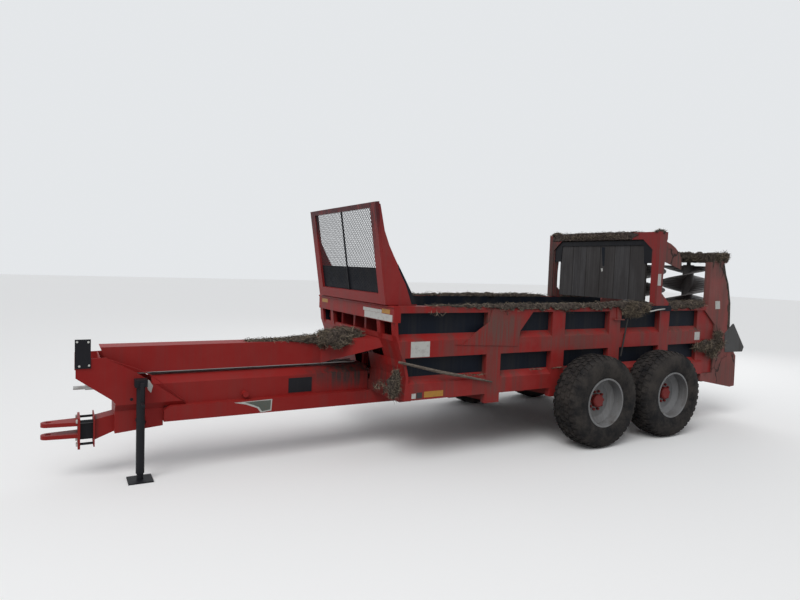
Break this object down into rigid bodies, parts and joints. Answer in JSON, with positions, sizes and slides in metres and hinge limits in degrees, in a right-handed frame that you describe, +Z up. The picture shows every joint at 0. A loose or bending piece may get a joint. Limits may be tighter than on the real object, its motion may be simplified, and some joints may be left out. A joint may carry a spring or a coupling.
{
  "type": "box manure spreader with push gate and vertical beaters",
  "caption": "Towed box manure spreader with a hydraulic push gate, raised endgate, vertical beaters and a walking-beam tandem.",
  "frame": {"origin": "on the ground under the middle of the machine's box", "axes": "+X towards the rear, +Y to the machine's right, +Z up"},
  "size_m": [9.3119, 2.9, 2.7713],
  "materials": {
    "red_paint": "faded satin red paint with mud",
    "black_plastic": "black polyethylene sheet",
    "black_paint": "black paint",
    "tyre_rubber": "muddy rubber",
    "rim_paint": "grey paint",
    "hub_paint": "red paint",
    "bright_steel": "worn steel",
    "boards": "weathered grey boards",
    "hose_rubber": "black hose"
  },
  "bodies": {
    "chassis": {"hitch_clevis": "red_paint", "hitch_spacer": "black_paint", "hitch_neck": "red_paint", "tongue_nose": "red_paint", "hose_bracket": "black_paint", "cylinder_beam": "red_paint", "tongue_arms": "red_paint", "driveline_tunnel": "red_paint", "tunnel_cover": "black_plastic", "hydraulic_lines": "bright_steel", "parking_jack": "black_paint", "main_rails": "red_paint", "cross_members": "red_paint", "floor": "black_plastic", "front_frame": "red_paint", "side_frame_left": "red_paint", "side_frame_right": "red_paint", "side_panel_left": "black_plastic", "side_panel_right": "black_plastic", "side_hose": "hose_rubber", "axle_tube": "red_paint", "walking_beams": "red_paint", "cylinder_barrel": "black_paint", "endgate_frame": "red_paint", "hood_plates": "red_paint", "beater_sides": "red_paint", "beater_top_beam": "red_paint", "beater_gearbox": "red_paint", "rear_flaps": "black_plastic"},
    "wheel_front_left": {"tyre_front_left": "tyre_rubber", "rim_front_left": "rim_paint", "hub_front_left": "hub_paint"},
    "wheel_rear_left": {"tyre_rear_left": "tyre_rubber", "rim_rear_left": "rim_paint", "hub_rear_left": "hub_paint"},
    "wheel_front_right": {"tyre_front_right": "tyre_rubber", "rim_front_right": "rim_paint", "hub_front_right": "hub_paint"},
    "wheel_rear_right": {"tyre_rear_right": "tyre_rubber", "rim_rear_right": "rim_paint", "hub_rear_right": "hub_paint"},
    "push_gate": {"push_gate_frame": "red_paint", "push_gate_panel": "black_plastic", "push_gate_screen": "black_paint", "cylinder_rod": "bright_steel"},
    "gate_cylinder": {"cylinder_stage": "bright_steel"},
    "endgate": {"endgate_boards": "boards", "endgate_head": "black_paint"},
    "beater_left": {"beater_left": "red_paint"},
    "beater_right": {"beater_right": "red_paint"},
    "driveline": {"input_shaft": "bright_steel"}
  },
  "joints": [
    {"name": "wheel_front_left_spin", "type": "hinge", "parent": "chassis", "child": "wheel_front_left", "pos_m": [1.215, -1.255, 0.562], "axis": [0, 1, 0], "continuous": true},
    {"name": "wheel_front_right_spin", "type": "hinge", "parent": "chassis", "child": "wheel_front_right", "pos_m": [1.215, 1.255, 0.562], "axis": [0, 1, 0], "continuous": true},
    {"name": "wheel_rear_left_spin", "type": "hinge", "parent": "chassis", "child": "wheel_rear_left", "pos_m": [2.471, -1.255, 0.562], "axis": [0, 1, 0], "continuous": true},
    {"name": "wheel_rear_right_spin", "type": "hinge", "parent": "chassis", "child": "wheel_rear_right", "pos_m": [2.471, 1.255, 0.562], "axis": [0, 1, 0], "continuous": true},
    {"name": "push_gate_slide", "type": "slide", "parent": "chassis", "child": "push_gate", "axis": [1, 0, 0], "range_m": [0, 3.6]},
    {"name": "gate_cylinder_slide", "type": "slide", "parent": "chassis", "child": "gate_cylinder", "axis": [1, 0, 0], "range_m": [0, 1.8]},
    {"name": "endgate_slide", "type": "slide", "parent": "chassis", "child": "endgate", "axis": [0, 0, 1], "range_m": [-0.93, 0]},
    {"name": "beater_left_spin", "type": "hinge", "parent": "chassis", "child": "beater_left", "pos_m": [4.009, -0.46, 1.5], "axis": [0, 0, 1], "continuous": true},
    {"name": "beater_right_spin", "type": "hinge", "parent": "chassis", "child": "beater_right", "pos_m": [4.009, 0.46, 1.5], "axis": [0, 0, 1], "continuous": true},
    {"name": "input_shaft_spin", "type": "hinge", "parent": "chassis", "child": "driveline", "pos_m": [-3.921, 0, 0.86], "axis": [1, 0, 0], "continuous": true}
  ],
  "couplings": [
    {"joint": "gate_cylinder_slide", "follows": "push_gate_slide", "ratio": 0.5},
    {"joint": "beater_right_spin", "follows": "beater_left_spin", "ratio": -1},
    {"joint": "input_shaft_spin", "follows": "beater_left_spin", "ratio": 2.5}
  ]
}
